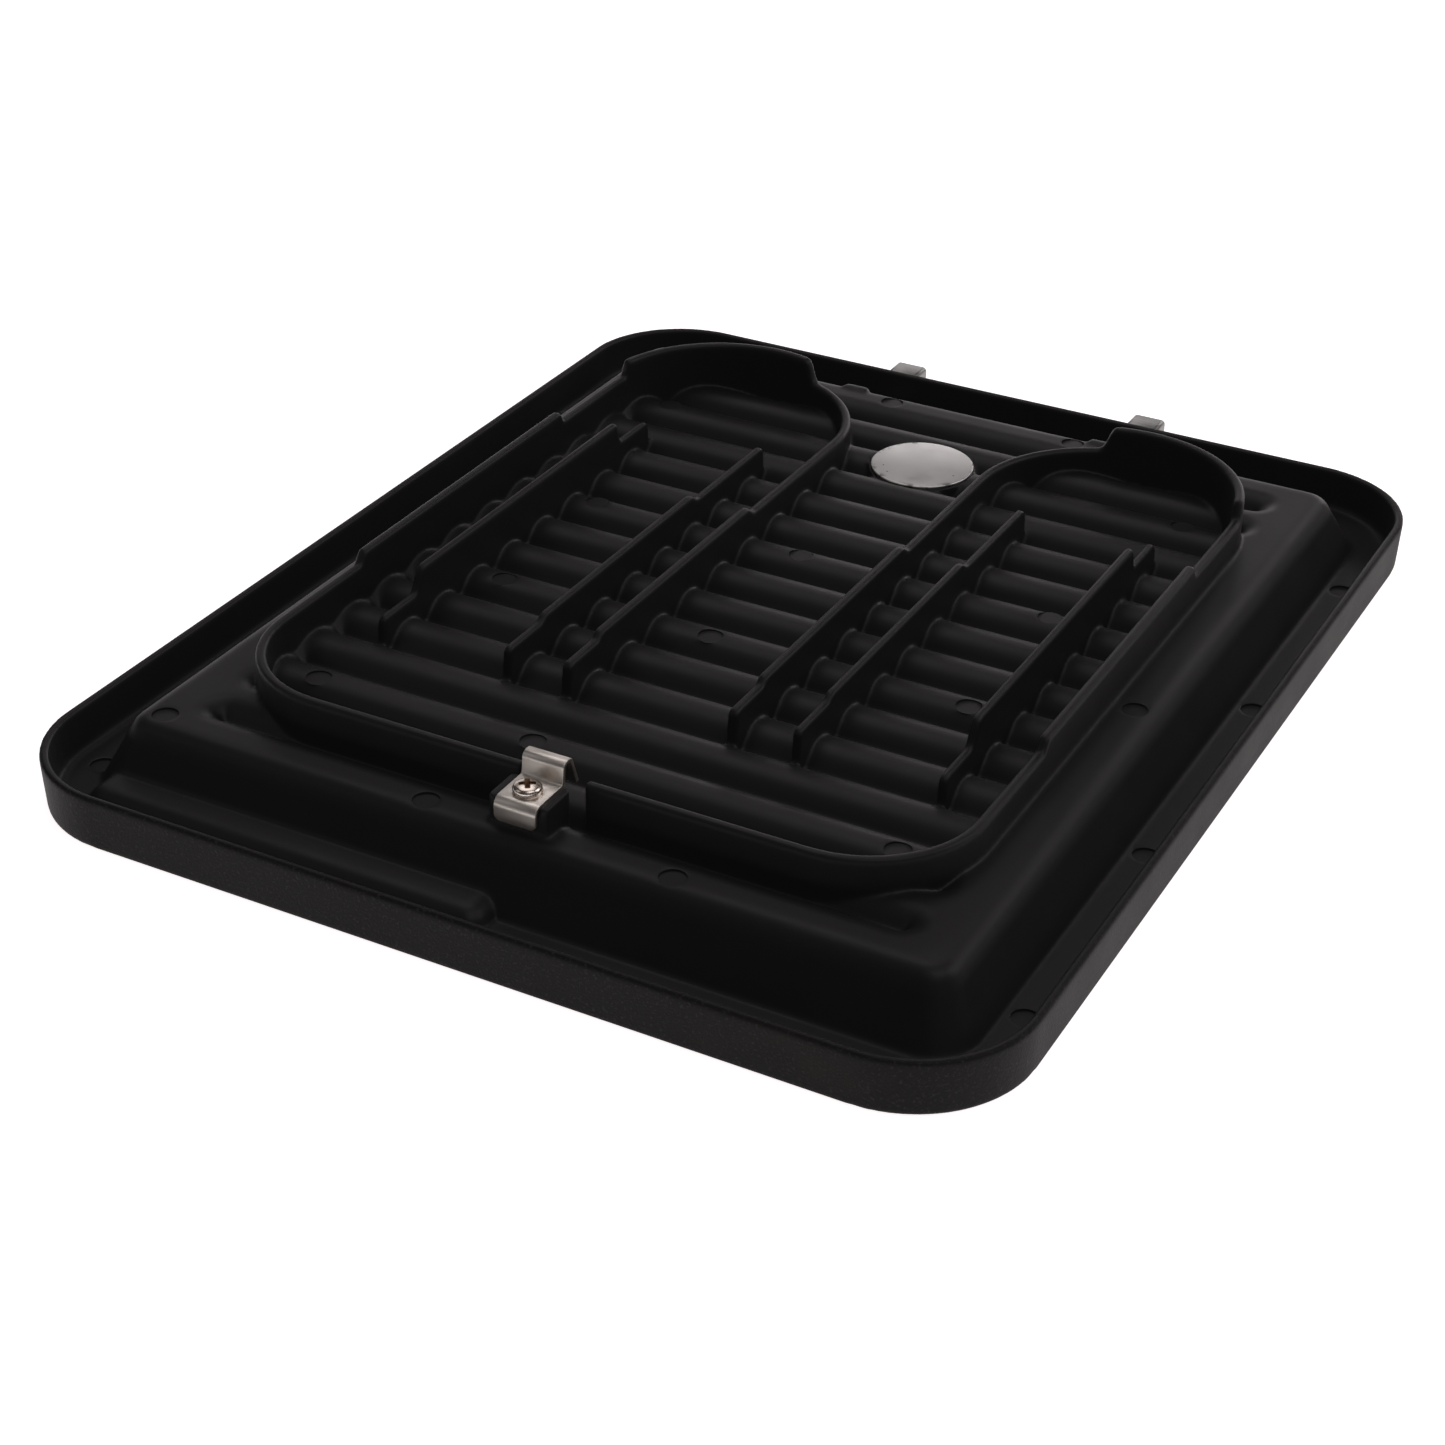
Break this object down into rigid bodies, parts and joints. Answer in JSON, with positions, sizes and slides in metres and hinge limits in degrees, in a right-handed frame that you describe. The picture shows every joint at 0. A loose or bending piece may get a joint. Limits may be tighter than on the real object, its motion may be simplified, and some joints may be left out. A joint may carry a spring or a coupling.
{
  "type": "contact grill plate",
  "caption": "Removable cast cooking plate of a contact grill, heater side up, with a ribbed heater seat, a bare sensor contact, a screwed front clip and back hooks.",
  "frame": {"origin": "centre of the bounding box's bottom: on the plane of the resting lip, midway between the skirt's front face and the hook tips", "axes": "+X along the clip edge, +Y towards the hook edge, +Z out of the heater side"},
  "size_m": [0.25, 0.319, 0.0316],
  "materials": {
    "casting_coated": "satin black non-stick coating over cast aluminium",
    "bare_disc": "ground bare metal",
    "clip_steel": "pressed stainless sheet",
    "screw_steel": "bright plated screw"
  },
  "bodies": {
    "root": {"plate_casting": "casting_coated", "sensor_disc": "bare_disc", "front_clip": "clip_steel", "clip_screw": "screw_steel", "hook_left": "clip_steel", "hook_right": "clip_steel", "hook_screw_left": "screw_steel", "hook_screw_right": "screw_steel"}
  },
  "joints": []
}
